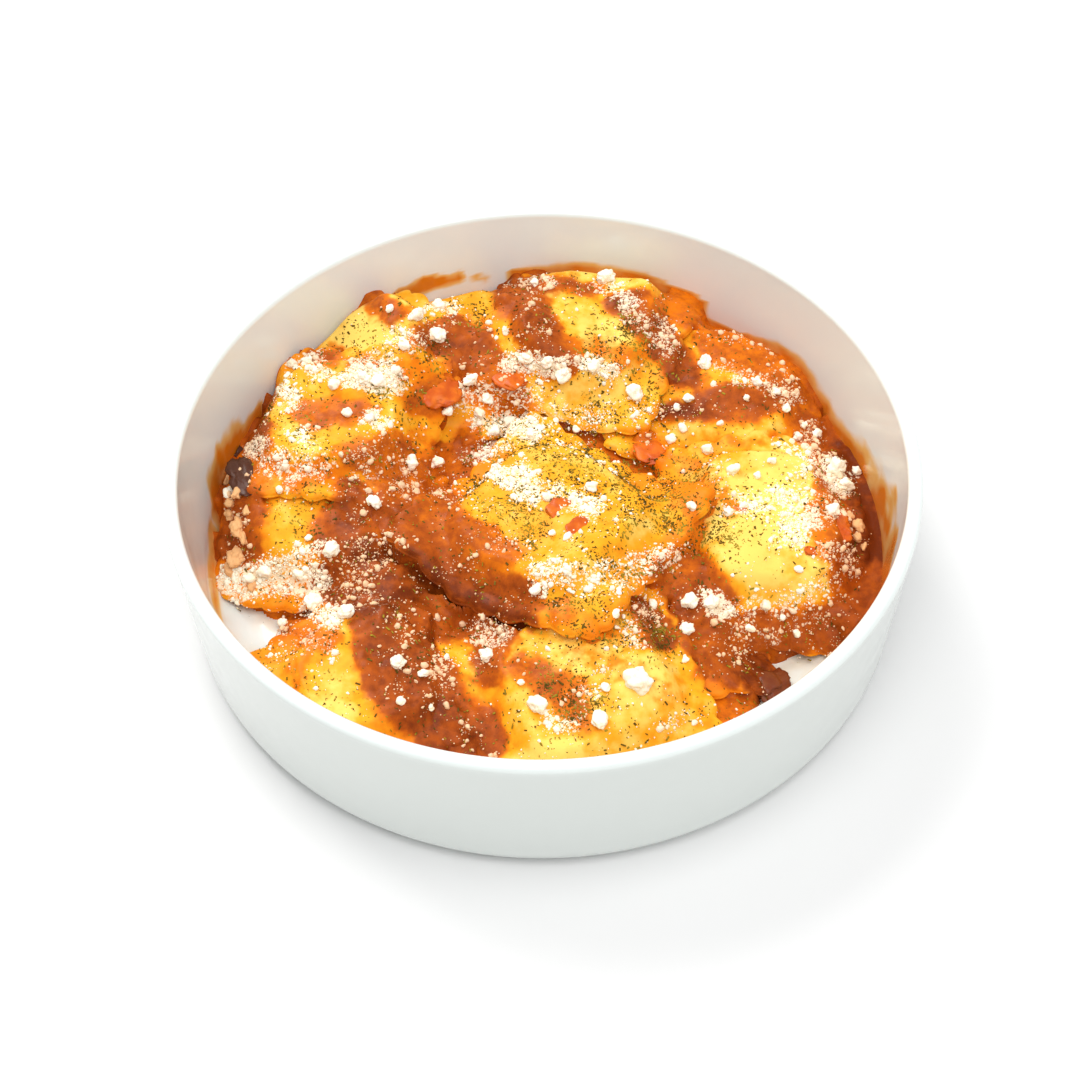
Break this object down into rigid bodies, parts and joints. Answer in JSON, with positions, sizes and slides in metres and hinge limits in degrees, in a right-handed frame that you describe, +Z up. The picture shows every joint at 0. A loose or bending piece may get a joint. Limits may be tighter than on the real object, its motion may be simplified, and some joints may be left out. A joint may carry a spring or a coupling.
{
  "type": "ravioli",
  "caption": "Large square ravioli in tomato sauce with grated hard cheese and dried herbs, heaped in a round white porcelain bowl.",
  "frame": {"origin": "middle of the bowl's foot, on the surface it stands on", "axes": "+Z up, -Y towards the serving side of the bowl, +X to the right"},
  "size_m": [0.1876, 0.1876, 0.046],
  "materials": {
    "porcelain": "glazed, warm white inside and cool white outside",
    "pasta": "moist egg pasta with a thin oily sheen",
    "tomato_sauce": "wet, with orange oil where it is thin",
    "cheese": "dry crumbs of grated hard cheese",
    "herbs": "dried, rubbed"
  },
  "bodies": {
    "root": {"bowl": "porcelain", "ravioli_back": "pasta", "ravioli_back_left": "pasta", "ravioli_back_right": "pasta", "ravioli_centre": "pasta", "ravioli_front": "pasta", "ravioli_front_left": "pasta", "ravioli_left": "pasta", "ravioli_low_right": "pasta", "ravioli_mid_back": "pasta", "ravioli_right": "pasta", "ravioli_upper_left": "pasta", "sauce": "tomato_sauce"}
  },
  "joints": []
}
